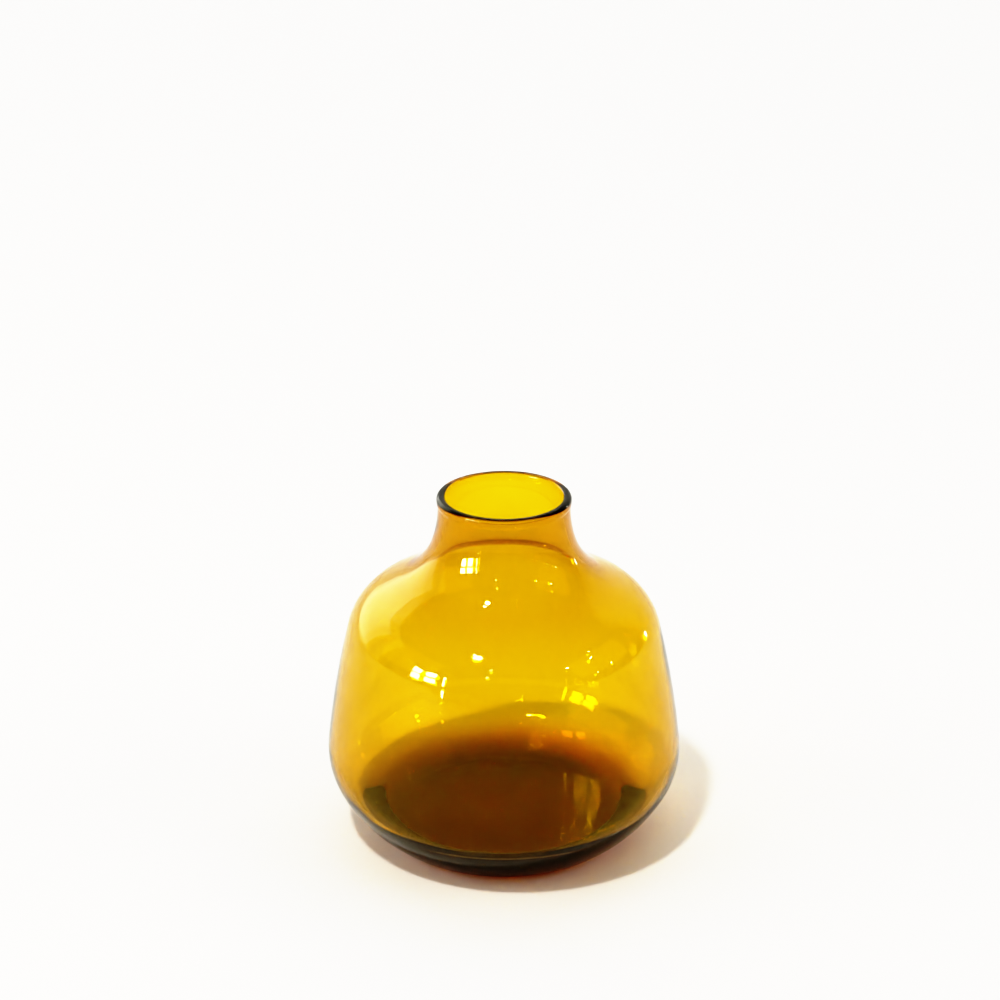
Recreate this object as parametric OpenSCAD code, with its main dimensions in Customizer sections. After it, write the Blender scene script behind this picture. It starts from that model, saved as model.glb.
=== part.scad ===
// Squat bud vase of blown amber glass: a short open neck that flares into round
// shoulders, a wall that widens to a low belly, a rounded heel and a thick base.
//
// The vase is one wall of glass turned about a vertical axis. It is described as eleven
// rings and discs, one above the other, that meet face to face with nothing overlapping.
// +Z is up and the origin is the centre of the circle on which the vase stands.

/* [Size] */
// Height from the table to the top of the lip
total_height = 108; // [107.5:0.5:118]

/* [Lip and neck] */
// Inner diameter of the mouth
mouth_diameter = 34.7; // [30:0.1:36.2]
// Height of the fire-polished lip
lip_height = 2.4; // [2:0.1:2.8]
// How far the lip stands out from the neck
lip_bead = 0.3; // [0.1:0.05:0.6]
// Radius on the outer edge of the lip
lip_outer_round = 1.1; // [0.6:0.1:1.2]
// Radius on the inner edge of the lip
lip_inner_round = 0.8; // [0.4:0.1:1]
// Radius of the gentle outward curve of the neck
neck_curve = 36; // [30:1:38]
// Radius of the tighter curve where the neck turns into the shoulder
throat_curve = 22; // [16:1:23]

/* [Glass thickness] */
// Thickness of the lip and the top of the neck
neck_wall = 2.3; // [2:0.1:2.8]
// Thickness where the neck turns into the throat
throat_wall = 2.3; // [2:0.1:2.8]
// Thickness where the slope of the shoulder begins
slope_wall = 2.1; // [1.8:0.1:2.6]
// Thickness where the round of the shoulder begins
shoulder_wall = 1.7; // [1.5:0.1:2.2]
// Thickness at the top of the side wall, the thinnest glass
body_wall = 1.4; // [1.2:0.1:2]
// Thickness where the side wall meets the belly
belly_wall = 1.7; // [1.5:0.1:2]
// Thickness where the belly meets the heel
heel_wall = 2; // [1.8:0.1:2.4]
// Thickness where the heel meets the corner, before the glass thickens to the floor
corner_wall = 2.2; // [2:0.1:2.5]

/* [Shoulder and wall] */
// Length of the straight slope at the top of the shoulder
shoulder_slope = 8; // [5:0.5:8.5]
// Radius of the shoulder
shoulder_curve = 18.3; // [14:0.1:19.5]
// Radius of the slight bulge of the wall
wall_curve = 269; // [200:1:274]

/* [Belly, heel and base] */
// Radius of the belly, the widest part
belly_curve = 22.5; // [20:0.1:23.7]
// Radius of the heel below the belly
heel_curve = 46.5; // [44:0.5:48.5]
// Radius that brings the heel round to the flat foot
foot_curve = 7; // [6.5:0.5:9]
// Radius of the inside corner between wall and floor
inner_corner = 11; // [9:0.5:12]
// Diameter of the hollow pressed up into the underside
punt_diameter = 60; // [59:1:64]
// Depth of that hollow at its centre
punt_depth = 1; // [0.6:0.1:2]

/* [Hidden] */
$fn = 180;

// Slope of the outer surface, in degrees from level, where each curve hands over to the next
upright = 90;
throat_top = 73;
slope_top = 30;
wall_top = 76;
wall_end = 84;
heel_top = 120;
corner_top = 124;
foot_top = 144;
floor_edge = 178;
level = 180;

// Length of a ray that reaches past the glass from any centre of curvature
reach = 600;

// Radius above which a disc is drawn in finer steps, and the number of those steps
flat_curve = 100;
fine_steps = 1440;

// Direction square to a surface that slopes down at angle a, pointing up and outward
function square_to(a) = [sin(a), cos(a)];

// Height taken up by each curve and slope of the outer surface, from lip to foot
function drop(r, a, b) = r * (cos(a) - cos(b));
curved_height = drop(neck_curve, upright, throat_top) * -1
    + drop(throat_curve, throat_top, slope_top) * -1
    + shoulder_slope * sin(slope_top)
    + drop(shoulder_curve, slope_top, wall_top)
    + drop(wall_curve, wall_top, wall_end)
    + drop(belly_curve, wall_end, heel_top)
    + drop(heel_curve, heel_top, foot_top)
    + drop(foot_curve, foot_top, level);

mouth_radius = mouth_diameter / 2;
neck_radius = mouth_radius + neck_wall;
lip_radius = neck_radius + lip_bead;
lip_foot = total_height - lip_height;

// Points where the curves of the outer surface meet, and the centres of those curves
neck_top = [neck_radius, curved_height];
neck_centre = neck_top + neck_curve * square_to(upright);
throat_start = neck_centre - neck_curve * square_to(throat_top);
throat_centre = throat_start + throat_curve * square_to(throat_top);
slope_start = throat_centre - throat_curve * square_to(slope_top);
slope_end = slope_start + shoulder_slope * [cos(slope_top), -sin(slope_top)];
shoulder_centre = slope_end - shoulder_curve * square_to(slope_top);
wall_start = shoulder_centre + shoulder_curve * square_to(wall_top);
wall_centre = wall_start - wall_curve * square_to(wall_top);
belly_start = wall_centre + wall_curve * square_to(wall_end);
belly_centre = belly_start - belly_curve * square_to(wall_end);
heel_start = belly_centre + belly_curve * square_to(heel_top);
heel_centre = heel_start - heel_curve * square_to(heel_top);
heel_end = heel_centre + heel_curve * square_to(corner_top);
foot_start = heel_centre + heel_curve * square_to(foot_top);
foot_centre = foot_start - foot_curve * square_to(foot_top);
foot_inside = foot_start - 2 * foot_curve * square_to(foot_top);

// Inside corner and dished floor of the hollow
corner_start = heel_end - corner_wall * square_to(corner_top);
corner_centre = corner_start - inner_corner * square_to(corner_top);
floor_start = corner_centre + inner_corner * square_to(floor_edge);
floor_curve = floor_start[0] / sin(floor_edge);
floor_centre = floor_start - floor_curve * square_to(floor_edge);

// Disc whose edge shapes the shallow dome pressed up into the underside
punt_radius = punt_diameter / 2;
punt_curve = (punt_radius * punt_radius + punt_depth * punt_depth) / (2 * punt_depth);

glass = [0.86, 0.62, 0.02, 0.75];

// Disc in the section plane, with finer steps where its edge is nearly flat
module disc(centre, radius) {
    translate(centre) circle(r = radius, $fn = radius > flat_curve ? fine_steps : $fn);
}

// Wedge of the section plane seen from a centre, between slopes a and b
module wedge(centre, a, b) {
    middle = (a + b) / 2;
    polygon([
        centre,
        centre + reach * square_to(a),
        centre + reach * square_to(middle),
        centre + reach * square_to(b)
    ]);
}

// Disc whose edge passes through three points
module disc_through(p, q, r) {
    d = 2 * (p[0] * (q[1] - r[1]) + q[0] * (r[1] - p[1]) + r[0] * (p[1] - q[1]));
    x = (p * p * (q[1] - r[1]) + q * q * (r[1] - p[1]) + r * r * (p[1] - q[1])) / d;
    y = (p * p * (r[0] - q[0]) + q * q * (p[0] - r[0]) + r * r * (q[0] - p[0])) / d;
    disc([x, y], norm(p - [x, y]));
}

// Inner face of a strip whose thickness goes evenly from one value to the other.
// The side is 1 where the outer face bulges and -1 where it dips.
module inner_disc(centre, radius, a, b, thick_a, thick_b, side) {
    middle = (a + b) / 2;
    thick_middle = (thick_a + thick_b) / 2;
    disc_through(
        centre + (side * radius - thick_a) * square_to(a),
        centre + (side * radius - thick_middle) * square_to(middle),
        centre + (side * radius - thick_b) * square_to(b)
    );
}

// Strip of glass behind an outer face that bulges
module bulging_strip(centre, radius, a, b, thick_a, thick_b) {
    intersection() {
        difference() {
            disc(centre, radius);
            inner_disc(centre, radius, a, b, thick_a, thick_b, 1);
        }
        wedge(centre, a, b);
    }
}

// Strip of glass behind an outer face that dips
module dipping_strip(centre, radius, a, b, thick_a, thick_b) {
    intersection() {
        difference() {
            inner_disc(centre, radius, a, b, thick_a, thick_b, -1);
            disc(centre, radius);
        }
        wedge(centre, a + level, b + level);
    }
}

// Space above the dished floor, as far out as the inside corner
module floor_hollow() {
    intersection() {
        disc(floor_centre, floor_curve);
        square([floor_start[0], reach]);
    }
}

// Fire-polished lip: a flat ring with its top edges rounded
module lip() {
    color(glass)
        rotate_extrude() {
            translate([mouth_radius, lip_foot])
                square([lip_radius - mouth_radius, lip_height - lip_outer_round]);
            translate([mouth_radius + lip_inner_round, lip_foot])
                square([lip_radius - mouth_radius - lip_inner_round - lip_outer_round, lip_height]);
            translate([mouth_radius, lip_foot])
                square([neck_wall / 2, lip_height - lip_inner_round]);
            disc([lip_radius - lip_outer_round, total_height - lip_outer_round], lip_outer_round);
            disc([mouth_radius + lip_inner_round, total_height - lip_inner_round], lip_inner_round);
        }
}

// Short upright neck that starts to open downward
module neck() {
    color(glass)
        rotate_extrude() {
            translate([mouth_radius, curved_height])
                square([neck_wall, lip_foot - curved_height]);
            dipping_strip(neck_centre, neck_curve, throat_top, upright, throat_wall, neck_wall);
        }
}

// Tighter curve that turns the neck out towards the shoulder
module throat() {
    color(glass)
        rotate_extrude()
            dipping_strip(throat_centre, throat_curve, slope_top, throat_top, slope_wall, throat_wall);
}

// Straight slope between the throat and the shoulder
module collar() {
    color(glass)
        rotate_extrude()
            polygon([
                slope_start,
                slope_end,
                slope_end - shoulder_wall * square_to(slope_top),
                slope_start - slope_wall * square_to(slope_top)
            ]);
}

// Round shoulder
module shoulder() {
    color(glass)
        rotate_extrude()
            bulging_strip(shoulder_centre, shoulder_curve, slope_top, wall_top, shoulder_wall, body_wall);
}

// Slightly bulging wall that widens downward
module side_wall() {
    color(glass)
        rotate_extrude()
            bulging_strip(wall_centre, wall_curve, wall_top, wall_end, body_wall, belly_wall);
}

// Widest ring, where the glass starts to thicken
module belly() {
    color(glass)
        rotate_extrude()
            bulging_strip(belly_centre, belly_curve, wall_end, heel_top, belly_wall, heel_wall);
}

// Ring below the belly that rounds under towards the foot
module heel() {
    color(glass)
        rotate_extrude()
            bulging_strip(heel_centre, heel_curve, heel_top, corner_top, heel_wall, corner_wall);
}

// Thick ring where the inside turns from the wall to the floor
module corner() {
    color(glass)
        rotate_extrude()
            difference() {
                intersection() {
                    disc(heel_centre, heel_curve);
                    polygon([
                        corner_start,
                        heel_end,
                        heel_end + reach * square_to(corner_top),
                        heel_end + reach * square_to(foot_top),
                        foot_start,
                        foot_inside,
                        corner_centre
                    ]);
                }
                disc(corner_centre, inner_corner);
                floor_hollow();
            }
}

// Ring with the flat face on which the vase stands
module foot() {
    color(glass)
        rotate_extrude()
            difference() {
                intersection() {
                    union() {
                        disc(foot_centre, foot_curve);
                        translate([punt_radius, 0])
                            square([foot_centre[0] - punt_radius, foot_inside[1]]);
                    }
                    polygon([
                        foot_inside,
                        foot_start,
                        foot_start + reach * square_to(level),
                        [foot_inside[0], -reach]
                    ]);
                    translate([punt_radius, 0])
                        square(reach);
                }
                floor_hollow();
            }
}

// Thick floor disc, slightly dished above and pressed up a little below
module base() {
    color(glass)
        rotate_extrude()
            difference() {
                square([punt_radius, floor_start[1]]);
                floor_hollow();
                disc([0, punt_depth - punt_curve], punt_curve);
            }
}

lip();
neck();
throat();
collar();
shoulder();
side_wall();
belly();
heel();
corner();
foot();
base();
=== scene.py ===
# A squat bud vase of amber glass, standing empty on a white sheet.
# The vase is drawn in millimetres and degrees and built in metres. The stage is in metres.
import bmesh
import bpy
import math
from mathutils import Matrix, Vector, noise


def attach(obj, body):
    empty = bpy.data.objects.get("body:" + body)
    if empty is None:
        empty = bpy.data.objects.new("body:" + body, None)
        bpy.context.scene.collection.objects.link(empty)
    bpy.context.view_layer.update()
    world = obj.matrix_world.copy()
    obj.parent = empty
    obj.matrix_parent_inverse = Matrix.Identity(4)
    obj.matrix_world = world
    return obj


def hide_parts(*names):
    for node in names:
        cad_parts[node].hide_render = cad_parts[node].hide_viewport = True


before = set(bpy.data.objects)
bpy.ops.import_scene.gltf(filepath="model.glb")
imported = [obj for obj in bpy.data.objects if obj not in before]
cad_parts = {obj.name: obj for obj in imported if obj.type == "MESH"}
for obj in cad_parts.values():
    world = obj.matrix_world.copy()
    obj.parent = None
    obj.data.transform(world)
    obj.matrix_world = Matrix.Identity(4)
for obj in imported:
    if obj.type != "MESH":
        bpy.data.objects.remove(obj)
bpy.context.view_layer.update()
MM = 0.001


# ---------------------------------------------------------------- shape
# The driving dimensions of part.scad, in millimetres and degrees.
HEIGHT = 108.0
MOUTH_R = 17.35
LIP_H, LIP_BEAD, LIP_OUT, LIP_IN = 2.4, 0.3, 1.1, 0.8
NECK_WALL, THROAT_WALL, SLOPE_WALL, SHOULDER_WALL, BODY_WALL = 2.3, 2.3, 2.1, 1.7, 1.4
BELLY_WALL, HEEL_WALL, CORNER_WALL = 1.7, 2.0, 2.2
NECK_R, NECK_CURVE, THROAT_CURVE = MOUTH_R + NECK_WALL, 36.0, 22.0
SLOPE, SHOULDER, WALL_CURVE = 8.0, 18.3, 269.0
BELLY, HEEL, FOOT, CORNER = 22.5, 46.5, 7.0, 11.0
PUNT_R, PUNT_D = 30.0, 1.0
# Gentle unevenness: its length, its depth inside and outside, and where it fades out
RIPPLE, RIPPLE_IN, RIPPLE_OUT = 17.0, 0.08, 0.035
CALM_TOP, CALM_FOOT, FADE = 104.0, 1.5, 4.0
# A shift in the noise, so that the outside waves differently from the inside. The outside only
# ever dips inwards, which keeps it within the CAD model.
OTHER_WAVE = Vector((7, 3, 5))
# Slope of the outside, in degrees from level, where each curve hands over to the next
UPRIGHT, THROAT_TOP, SLOPE_TOP, WALL_TOP, WALL_END = 90, 73, 30, 76, 84
HEEL_TOP, CORNER_TOP, FOOT_TOP, FLOOR_EDGE, LEVEL = 120, 124, 144, 178, 180
# The lip's bead runs softly into the neck: where that starts above the lip's foot, its length and steps
BEAD_TOP, BEAD_RUN, BEAD_STEPS = 0.45, 1.0, 8
# Spacing of the points along the outline, closest where the glass turns fastest
LIP_STEP, BEAD_STEP, FOOT_STEP, CORNER_STEP, NECK_STEP = 0.12, 0.3, 0.35, 0.4, 0.6
ROUND_STEP, SOFT_STEP, FLOOR_STEP, WALL_STEP = 0.7, 0.8, 1.0, 1.2
# Points closer together than this are taken as one
SAME_POINT = 0.02
# How many points go round the vase, and how near the axis a point counts as on it
SIDES = 224
ON_AXIS = 1e-6


def square_to(a):
    """Direction square to a surface that slopes down at angle a, pointing up and outward."""
    a = math.radians(a)
    return Vector((math.sin(a), math.cos(a)))


def arc(centre, radius, a, b, step):
    """Points on an arc between slopes a and b, about step mm apart."""
    n = max(2, math.ceil(abs(math.radians(b - a)) * abs(radius) / step))
    return [centre + radius * square_to(a + (b - a) * i / n) for i in range(n + 1)]


def inner_arc(centre, radius, a, b, thick_a, thick_b, step):
    """The inner face of a strip of glass behind an arc: the circle through its ends and its middle."""
    p, q, r = [centre + (radius - t) * square_to(s)
               for s, t in ((a, thick_a), ((a + b) / 2, (thick_a + thick_b) / 2), (b, thick_b))]
    d = 2 * (p.x * (q.y - r.y) + q.x * (r.y - p.y) + r.x * (p.y - q.y))
    x = (p.dot(p) * (q.y - r.y) + q.dot(q) * (r.y - p.y) + r.dot(r) * (p.y - q.y)) / d
    y = (p.dot(p) * (r.x - q.x) + q.dot(q) * (p.x - r.x) + r.dot(r) * (q.x - p.x)) / d
    mid = Vector((x, y))
    start = math.atan2(p.x - x, p.y - y)
    sweep = (math.atan2(r.x - x, r.y - y) - start + math.pi) % math.tau - math.pi
    n = max(2, math.ceil(abs(sweep) * (p - mid).length / step))
    turns = [start + sweep * i / n for i in range(n + 1)]
    return [mid + (p - mid).length * Vector((math.sin(t), math.cos(t))) for t in turns]


def line(p, q, step):
    """Points on a straight line from p to q, about step mm apart."""
    n = max(1, math.ceil((q - p).length / step))
    return [p.lerp(q, i / n) for i in range(n + 1)]


def drop(r, a, b):
    """Height taken up by a curve of radius r between slopes a and b."""
    return r * (math.cos(math.radians(a)) - math.cos(math.radians(b)))


def section():
    """The outline of the glass: from the middle of the floor, up the inside, over the lip and down
    the outside to the middle of the underside. Also says how many of its points are inside."""
    curved = (-drop(NECK_CURVE, UPRIGHT, THROAT_TOP) - drop(THROAT_CURVE, THROAT_TOP, SLOPE_TOP)
              + SLOPE * math.sin(math.radians(SLOPE_TOP)) + drop(SHOULDER, SLOPE_TOP, WALL_TOP)
              + drop(WALL_CURVE, WALL_TOP, WALL_END) + drop(BELLY, WALL_END, HEEL_TOP)
              + drop(HEEL, HEEL_TOP, FOOT_TOP) + drop(FOOT, FOOT_TOP, LEVEL))
    neck_c = Vector((NECK_R + NECK_CURVE, curved))
    throat_c = neck_c - (NECK_CURVE - THROAT_CURVE) * square_to(THROAT_TOP)
    slope_0 = throat_c - THROAT_CURVE * square_to(SLOPE_TOP)
    steep = math.radians(SLOPE_TOP)
    slope_1 = slope_0 + SLOPE * Vector((math.cos(steep), -math.sin(steep)))
    shoulder_c = slope_1 - SHOULDER * square_to(SLOPE_TOP)
    wall_c = shoulder_c + (SHOULDER - WALL_CURVE) * square_to(WALL_TOP)
    belly_c = wall_c + (WALL_CURVE - BELLY) * square_to(WALL_END)
    heel_c = belly_c + (BELLY - HEEL) * square_to(HEEL_TOP)
    foot_c = heel_c + (HEEL - FOOT) * square_to(FOOT_TOP)
    corner_c = heel_c + (HEEL - CORNER_WALL - CORNER) * square_to(CORNER_TOP)
    floor_0 = corner_c + CORNER * square_to(FLOOR_EDGE)
    floor_r = floor_0.x / math.sin(math.radians(FLOOR_EDGE))
    floor_c = floor_0 - floor_r * square_to(FLOOR_EDGE)
    punt_ball = (PUNT_R ** 2 + PUNT_D ** 2) / (2 * PUNT_D)
    lip_out = Vector((NECK_R + LIP_BEAD - LIP_OUT, HEIGHT - LIP_OUT))
    lip_in = Vector((MOUTH_R + LIP_IN, HEIGHT - LIP_IN))
    bead_r = NECK_R + LIP_BEAD
    bead_foot = HEIGHT - LIP_H + BEAD_TOP

    inside = arc(floor_c, floor_r, LEVEL, FLOOR_EDGE, FLOOR_STEP)
    inside += arc(corner_c, CORNER, FLOOR_EDGE, CORNER_TOP, CORNER_STEP)
    inside += inner_arc(heel_c, HEEL, CORNER_TOP, HEEL_TOP, CORNER_WALL, HEEL_WALL, ROUND_STEP)
    inside += inner_arc(belly_c, BELLY, HEEL_TOP, WALL_END, HEEL_WALL, BELLY_WALL, ROUND_STEP)
    inside += inner_arc(wall_c, WALL_CURVE, WALL_END, WALL_TOP, BELLY_WALL, BODY_WALL, WALL_STEP)
    inside += inner_arc(shoulder_c, SHOULDER, WALL_TOP, SLOPE_TOP, BODY_WALL, SHOULDER_WALL, ROUND_STEP)
    inside += line(slope_1 - SHOULDER_WALL * square_to(SLOPE_TOP),
                   slope_0 - SLOPE_WALL * square_to(SLOPE_TOP), WALL_STEP)
    inside += inner_arc(throat_c, -THROAT_CURVE, SLOPE_TOP, THROAT_TOP, SLOPE_WALL, THROAT_WALL, ROUND_STEP)
    inside += inner_arc(neck_c, -NECK_CURVE, THROAT_TOP, UPRIGHT, THROAT_WALL, NECK_WALL, SOFT_STEP)
    inside += line(Vector((MOUTH_R, curved)), Vector((MOUTH_R, lip_in.y)), NECK_STEP)
    inside += arc(lip_in, LIP_IN, -UPRIGHT, 0, LIP_STEP)
    outside = arc(lip_out, LIP_OUT, 0, UPRIGHT, LIP_STEP)
    outside += line(Vector((bead_r, lip_out.y)), Vector((bead_r, bead_foot)), BEAD_STEP)
    for i in range(1, BEAD_STEPS + 1):
        t = i / BEAD_STEPS
        ease = 1 - t * t * (3 - 2 * t)
        outside.append(Vector((NECK_R + LIP_BEAD * ease, bead_foot - BEAD_RUN * t)))
    outside += line(Vector((NECK_R, bead_foot - BEAD_RUN)), Vector((NECK_R, curved)), NECK_STEP)
    outside += arc(neck_c, -NECK_CURVE, UPRIGHT, THROAT_TOP, SOFT_STEP)
    outside += arc(throat_c, -THROAT_CURVE, THROAT_TOP, SLOPE_TOP, ROUND_STEP)
    outside += line(slope_0, slope_1, WALL_STEP)
    outside += arc(shoulder_c, SHOULDER, SLOPE_TOP, WALL_TOP, ROUND_STEP)
    outside += arc(wall_c, WALL_CURVE, WALL_TOP, WALL_END, WALL_STEP)
    outside += arc(belly_c, BELLY, WALL_END, HEEL_TOP, ROUND_STEP)
    outside += arc(heel_c, HEEL, HEEL_TOP, FOOT_TOP, SOFT_STEP)
    outside += arc(foot_c, FOOT, FOOT_TOP, LEVEL, FOOT_STEP)
    outside += line(Vector((foot_c.x, 0)), Vector((PUNT_R, 0)), SOFT_STEP)
    punt_edge = math.degrees(math.asin(PUNT_R / punt_ball))
    outside += arc(Vector((0, PUNT_D - punt_ball)), punt_ball, punt_edge, 0, FLOOR_STEP)

    points, split = [], 0
    for k, p in enumerate(inside + outside):
        if k == len(inside):
            split = len(points)
        if not points or (points[-1] - p).length > SAME_POINT:
            points.append(p)
    return points, split


def uneven(points, k, split, a):
    """How far point k moves out of the glass at angle a, in mm: blown glass is never quite even."""
    p = points[k]
    calm = min(1.0, max(0.0, (CALM_TOP - p.y) / FADE)) * min(1.0, max(0.0, (p.y - CALM_FOOT) / FADE))
    at = Vector((p.x * math.cos(a), p.x * math.sin(a), p.y)) / RIPPLE
    wave = noise.noise(at) if k < split else noise.noise(at + OTHER_WAVE) - 1
    return calm * wave * (RIPPLE_IN if k < split else RIPPLE_OUT)


def turned(name, points, split, sides=SIDES):
    """One closed mesh: the section turned about Z, with the slight unevenness of hand-blown glass."""
    bm = bmesh.new()
    rings = []
    for k, p in enumerate(points):
        if p.x < ON_AXIS:
            rings.append([bm.verts.new((0, 0, p.y * MM))])
            continue
        ring = []
        along = (points[k + 1] - points[k - 1]).normalized()
        for i in range(sides):
            a = math.tau * i / sides
            q = p + uneven(points, k, split, a) * Vector((-along.y, along.x))
            ring.append(bm.verts.new((q.x * math.cos(a) * MM, q.x * math.sin(a) * MM, q.y * MM)))
        rings.append(ring)
    for lower, upper in zip(rings, rings[1:]):
        if len(lower) == 1:
            for i in range(sides):
                bm.faces.new((lower[0], upper[(i + 1) % sides], upper[i]))
        elif len(upper) == 1:
            for i in range(sides):
                bm.faces.new((lower[i], lower[(i + 1) % sides], upper[0]))
        else:
            for i in range(sides):
                j = (i + 1) % sides
                bm.faces.new((lower[i], lower[j], upper[j], upper[i]))
    bmesh.ops.recalc_face_normals(bm, faces=bm.faces)
    for f in bm.faces:
        f.smooth = True
    mesh = bpy.data.meshes.new(name)
    bm.to_mesh(mesh)
    bm.free()
    ob = bpy.data.objects.new(name, mesh)
    bpy.context.scene.collection.objects.link(ob)
    return ob


points, split = section()
vase = turned("vase_glass", points, split)


# ---------------------------------------------------------------- glass
# The glass takes away (1 - colour) x density of each colour of light for every metre inside it
AMBER, DENSITY = (0.968, 0.928, 0.5, 1), 3000.0
# Faint orange-peel of the fire-polished skin: waves per metre, and height in metres
PEEL_SCALE, PEEL_STRENGTH, PEEL_HEIGHT = 210.0, 0.25, 0.00003
# Scuffs on the ring it stands on: waves per metre, how high up they reach, and how rough they are
SCUFF_SCALE, SCUFF_TOP, SCUFF_FULL, SCUFF_ROUGH = 900.0, 0.0006, 0.0001, 0.12


def glass_material():
    """Clear glass with its colour inside it, a live skin and a scuffed foot."""
    mat = bpy.data.materials.new("amber_glass")
    mat.use_nodes = True
    nt = mat.node_tree
    nt.nodes.clear()
    out = nt.nodes.new("ShaderNodeOutputMaterial")
    bsdf = nt.nodes.new("ShaderNodeBsdfPrincipled")
    bsdf.inputs["Base Color"].default_value = (1.0, 1.0, 1.0, 1)
    bsdf.inputs["Roughness"].default_value = 0.0
    bsdf.inputs["IOR"].default_value = 1.5
    bsdf.inputs["Specular Tint"].default_value = (0.9, 0.9, 0.6, 1)
    bsdf.inputs["Transmission Weight"].default_value = 1.0
    place = nt.nodes.new("ShaderNodeTexCoord")
    skin = nt.nodes.new("ShaderNodeTexNoise")
    skin.inputs["Scale"].default_value = PEEL_SCALE
    skin.inputs["Detail"].default_value = 2.0
    bump = nt.nodes.new("ShaderNodeBump")
    bump.inputs["Strength"].default_value = PEEL_STRENGTH
    bump.inputs["Distance"].default_value = PEEL_HEIGHT
    scuffs = nt.nodes.new("ShaderNodeTexNoise")
    scuffs.inputs["Scale"].default_value = SCUFF_SCALE
    scuffs.inputs["Detail"].default_value = 6.0
    height = nt.nodes.new("ShaderNodeSeparateXYZ")
    worn = nt.nodes.new("ShaderNodeMapRange")
    worn.inputs["From Min"].default_value = SCUFF_TOP
    worn.inputs["From Max"].default_value = SCUFF_FULL
    worn.inputs["To Max"].default_value = SCUFF_ROUGH
    rough = nt.nodes.new("ShaderNodeMath")
    rough.operation = "MULTIPLY"
    nt.links.new(place.outputs["Object"], skin.inputs["Vector"])
    nt.links.new(place.outputs["Object"], scuffs.inputs["Vector"])
    nt.links.new(place.outputs["Object"], height.inputs["Vector"])
    nt.links.new(height.outputs["Z"], worn.inputs["Value"])
    nt.links.new(worn.outputs["Result"], rough.inputs[0])
    nt.links.new(scuffs.outputs["Fac"], rough.inputs[1])
    nt.links.new(skin.outputs["Fac"], bump.inputs["Height"])
    nt.links.new(bump.outputs["Normal"], bsdf.inputs["Normal"])
    nt.links.new(rough.outputs["Value"], bsdf.inputs["Roughness"])
    vol = nt.nodes.new("ShaderNodeVolumeAbsorption")
    vol.inputs["Color"].default_value = AMBER
    vol.inputs["Density"].default_value = DENSITY
    nt.links.new(bsdf.outputs["BSDF"], out.inputs["Surface"])
    nt.links.new(vol.outputs["Volume"], out.inputs["Volume"])
    return mat


vase.data.materials.append(glass_material())
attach(vase, "root")
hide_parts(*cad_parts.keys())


# ---------------------------------------------------------------- floor
PAPER = (0.87, 0.862, 0.842)
# The white sheet: its width, how far it runs to the front, where it starts to curve up behind
# the vase, the radius of that curve, how high it ends, and how far it lies under the foot
SHEET_WIDTH, SHEET_FRONT, SHEET_BEND, SHEET_CURVE, SHEET_TOP = 4.4, 2.6, 0.75, 0.65, 2.2
SHEET_GAP = 0.00015


def plain(name, colour, rough):
    """A matt material of one colour, for the sheet."""
    mat = bpy.data.materials.new(name)
    mat.use_nodes = True
    b = mat.node_tree.nodes["Principled BSDF"]
    b.inputs["Base Color"].default_value = (*colour, 1)
    b.inputs["Roughness"].default_value = rough
    b.inputs["Specular IOR Level"].default_value = 0.2
    return mat


def sheet(width, front, bend, radius, top, steps=24):
    """A white sheet: flat under the vase, then curving up into a wall behind it."""
    rows = [(-front, 0.0), (bend, 0.0)]
    for i in range(1, steps + 1):
        t = math.pi / 2 * i / steps
        rows.append((bend + radius * math.sin(t), radius * (1 - math.cos(t))))
    rows.append((bend + radius, top))
    verts = [(x, y, z) for y, z in rows for x in (-width / 2, width / 2)]
    faces = [(2 * i, 2 * i + 1, 2 * i + 3, 2 * i + 2) for i in range(len(rows) - 1)]
    mesh = bpy.data.meshes.new("sweep")
    mesh.from_pydata(verts, [], faces)
    for f in mesh.polygons:
        f.use_smooth = True
    ob = bpy.data.objects.new("sweep", mesh)
    bpy.context.scene.collection.objects.link(ob)
    ob.data.materials.append(plain("sweep_paper", PAPER, 0.9))
    ob.location.z = -SHEET_GAP


sheet(SHEET_WIDTH, SHEET_FRONT, SHEET_BEND, SHEET_CURVE, SHEET_TOP)


# ---------------------------------------------------------------- light
# How bright the face of each kind of lamp is
KEY, FILL, BACK, SIDE = 285.0, 0.27, 1.1, 1.8
# The key light is a little warm
WARM = (1.0, 0.97, 0.91)
# How far off the small lamps for the sparkles stand
SPOT_FAR = 2.2
# The dim room around the sheet
STUDIO, STUDIO_BRIGHT = (1.0, 0.96, 0.9, 1), 0.15
# The middle of the vase, which the lamps face
CENTRE = Vector((0, 0, 0.06))

world = bpy.data.worlds.new("studio")
bpy.context.scene.world = world
world.use_nodes = True
world.node_tree.nodes["Background"].inputs["Color"].default_value = STUDIO
world.node_tree.nodes["Background"].inputs["Strength"].default_value = STUDIO_BRIGHT


def toward(azimuth, elevation, distance):
    """A place seen from the vase; azimuth 0 is straight behind it and 90 is to the right."""
    a, e = math.radians(azimuth), math.radians(elevation)
    return CENTRE + distance * Vector((math.sin(a) * math.cos(e), math.cos(a) * math.cos(e), math.sin(e)))


def area(name, at, target, size, radiance, colour=(1, 1, 1), shape="RECTANGLE"):
    """An area lamp of a given size in metres; its power follows from how bright its face is."""
    light = bpy.data.lights.new(name, "AREA")
    light.shape = shape
    light.size, light.size_y = size
    face = size[0] * size[1] * (math.pi / 4 if shape == "ELLIPSE" else 1)
    light.energy = radiance * math.pi * face
    light.color = colour
    ob = bpy.data.objects.new(name, light)
    ob.location = at
    ob.rotation_euler = (Vector(target) - Vector(at)).to_track_quat("-Z", "Y").to_euler()
    bpy.context.scene.collection.objects.link(ob)
    return ob


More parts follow.
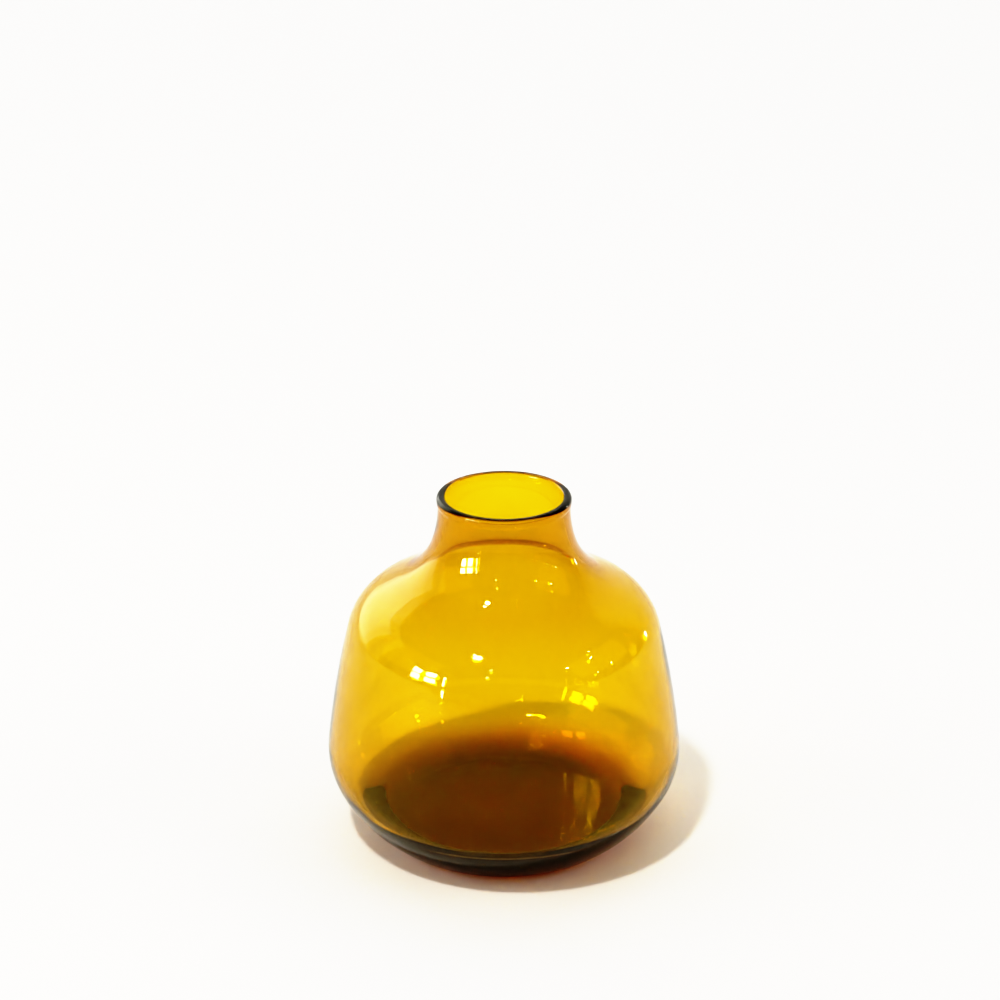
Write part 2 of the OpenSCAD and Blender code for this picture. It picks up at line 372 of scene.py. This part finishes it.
# A small, high key light from the front left, and large soft lamps that leave no reflections
area("lamp_key", toward(-149, 62.5, 2.0), CENTRE, (0.15, 0.15), KEY, WARM, "ELLIPSE")
fill = area("lamp_fill", (0, 0.3, 2.6), (0, 0.3, 0), (4.4, 4.4), FILL)
fill.visible_glossy = False
back = area("lamp_back", (0, 0.9, 1.9), (0, 1.25, 0), (3.0, 0.8), BACK)
back.visible_glossy = False
back.visible_transmission = False
for name, azimuth in (("left", -100), ("right", 100)):
    side = area(f"lamp_{name}", toward(azimuth, 28, 2.2), CENTRE, (1.8, 1.2), SIDE)
    side.visible_glossy = False

# Large cards that show only in the glass: azimuth, elevation, distance, size and brightness
for name, azimuth, elevation, distance, size, radiance in (
        ("left", -43, 19, 1.3, (1.1, 0.8), 0.9), ("wide", -50, 21, 1.35, (1.75, 1.1), 0.6),
        ("right", 30, 4, 1.9, (1.0, 0.7), 0.8), ("strip", 54.6, 2.5, 1.9, (0.07, 0.2), 24)):
    card = area(f"card_{name}", toward(azimuth, elevation, distance), CENTRE, size, radiance)
    card.visible_diffuse = False
    card.visible_camera = False

# Small bright lamps for the sparkles: azimuth, elevation, size and brightness
for k, (azimuth, elevation, size, radiance) in enumerate((
        (-139, 67, 0.09, 60), (-167, 30, 0.08, 50), (-169, 43, 0.07, 40), (130, 31, 0.09, 50),
        (107, 33, 0.09, 60), (100, 42, 0.06, 35), (97, 12.6, 0.07, 35), (111, 9, 0.06, 30))):
    spot = area(f"lamp_spot_{k + 1}", toward(azimuth, elevation, SPOT_FAR), CENTRE, (size, size), radiance,
                shape="ELLIPSE")
    spot.visible_diffuse = False

# A window of several panes, each given by where it is and how many degrees it spans.
# Only the last, narrow column reaches down to the lowest row.
WINDOW_FAR, WINDOW_BRIGHT = 2.4, 34
PANE = WINDOW_FAR * math.tan(math.radians(1.0))
for column, (azimuth, width) in enumerate(((-115.5, 7.5), (-127, 8.5), (-137.5, 1.8))):
    for row, (elevation, height) in enumerate(((17, 7), (7.5, 8), (-3.5, 7))):
        if row == 2 and column < 2:
            continue
        pane = area(f"window_{column + 1}_{row + 1}", toward(azimuth, elevation, WINDOW_FAR), CENTRE,
                    (PANE * width, PANE * height), WINDOW_BRIGHT)
        pane.visible_diffuse = False


# ---------------------------------------------------------------- camera
# Focal length as a share of the picture's width, the tilt below level, and the place
FOCAL, TILT = 2.8, 22.5
CAMERA_AT = (-0.0012, -0.7595, 0.4210)

cam_data = bpy.data.cameras.new("camera")
cam_data.sensor_fit = "HORIZONTAL"
cam_data.sensor_width = 36.0
cam_data.lens = FOCAL * cam_data.sensor_width
cam_data.clip_start = 0.05
cam_data.clip_end = 50
camera = bpy.data.objects.new("camera", cam_data)
camera.location = CAMERA_AT
camera.rotation_euler = (math.radians(90 - TILT), 0, 0)
bpy.context.scene.collection.objects.link(camera)
bpy.context.scene.camera = camera


# ---------------------------------------------------------------- picture
# The response of a camera: deeper blacks, and whites that roll off before they clip.
# Each pair is a level going in and the level that comes out, and the last pair is beyond white.
RESPONSE = (
    (0.05, 0.015), (0.12, 0.09), (0.25, 0.245), (0.45, 0.47), (0.6, 0.61), (0.7, 0.655), (0.85, 0.68))
BEYOND_WHITE = (1.3, 0.72)

scene = bpy.context.scene
scene.view_settings.view_transform = "Standard"
scene.view_settings.look = "High Contrast"
scene.view_settings.use_curve_mapping = True
response = scene.view_settings.curve_mapping
response.use_clip = False
response.extend = "EXTRAPOLATED"
all_channels = response.curves[3]
for level_in, level_out in RESPONSE:
    all_channels.points.new(level_in, level_out)
all_channels.points[-1].location = BEYOND_WHITE
response.update()
scene.cycles.max_bounces = 24
scene.cycles.transmission_bounces = 24
scene.cycles.glossy_bounces = 16
scene.cycles.diffuse_bounces = 6
scene.cycles.transparent_max_bounces = 16
scene.cycles.caustics_refractive = True
scene.cycles.caustics_reflective = True
scene.cycles.blur_glossy = 0.3
scene.cycles.sample_clamp_indirect = 0.0
scene.cycles.use_denoising = True
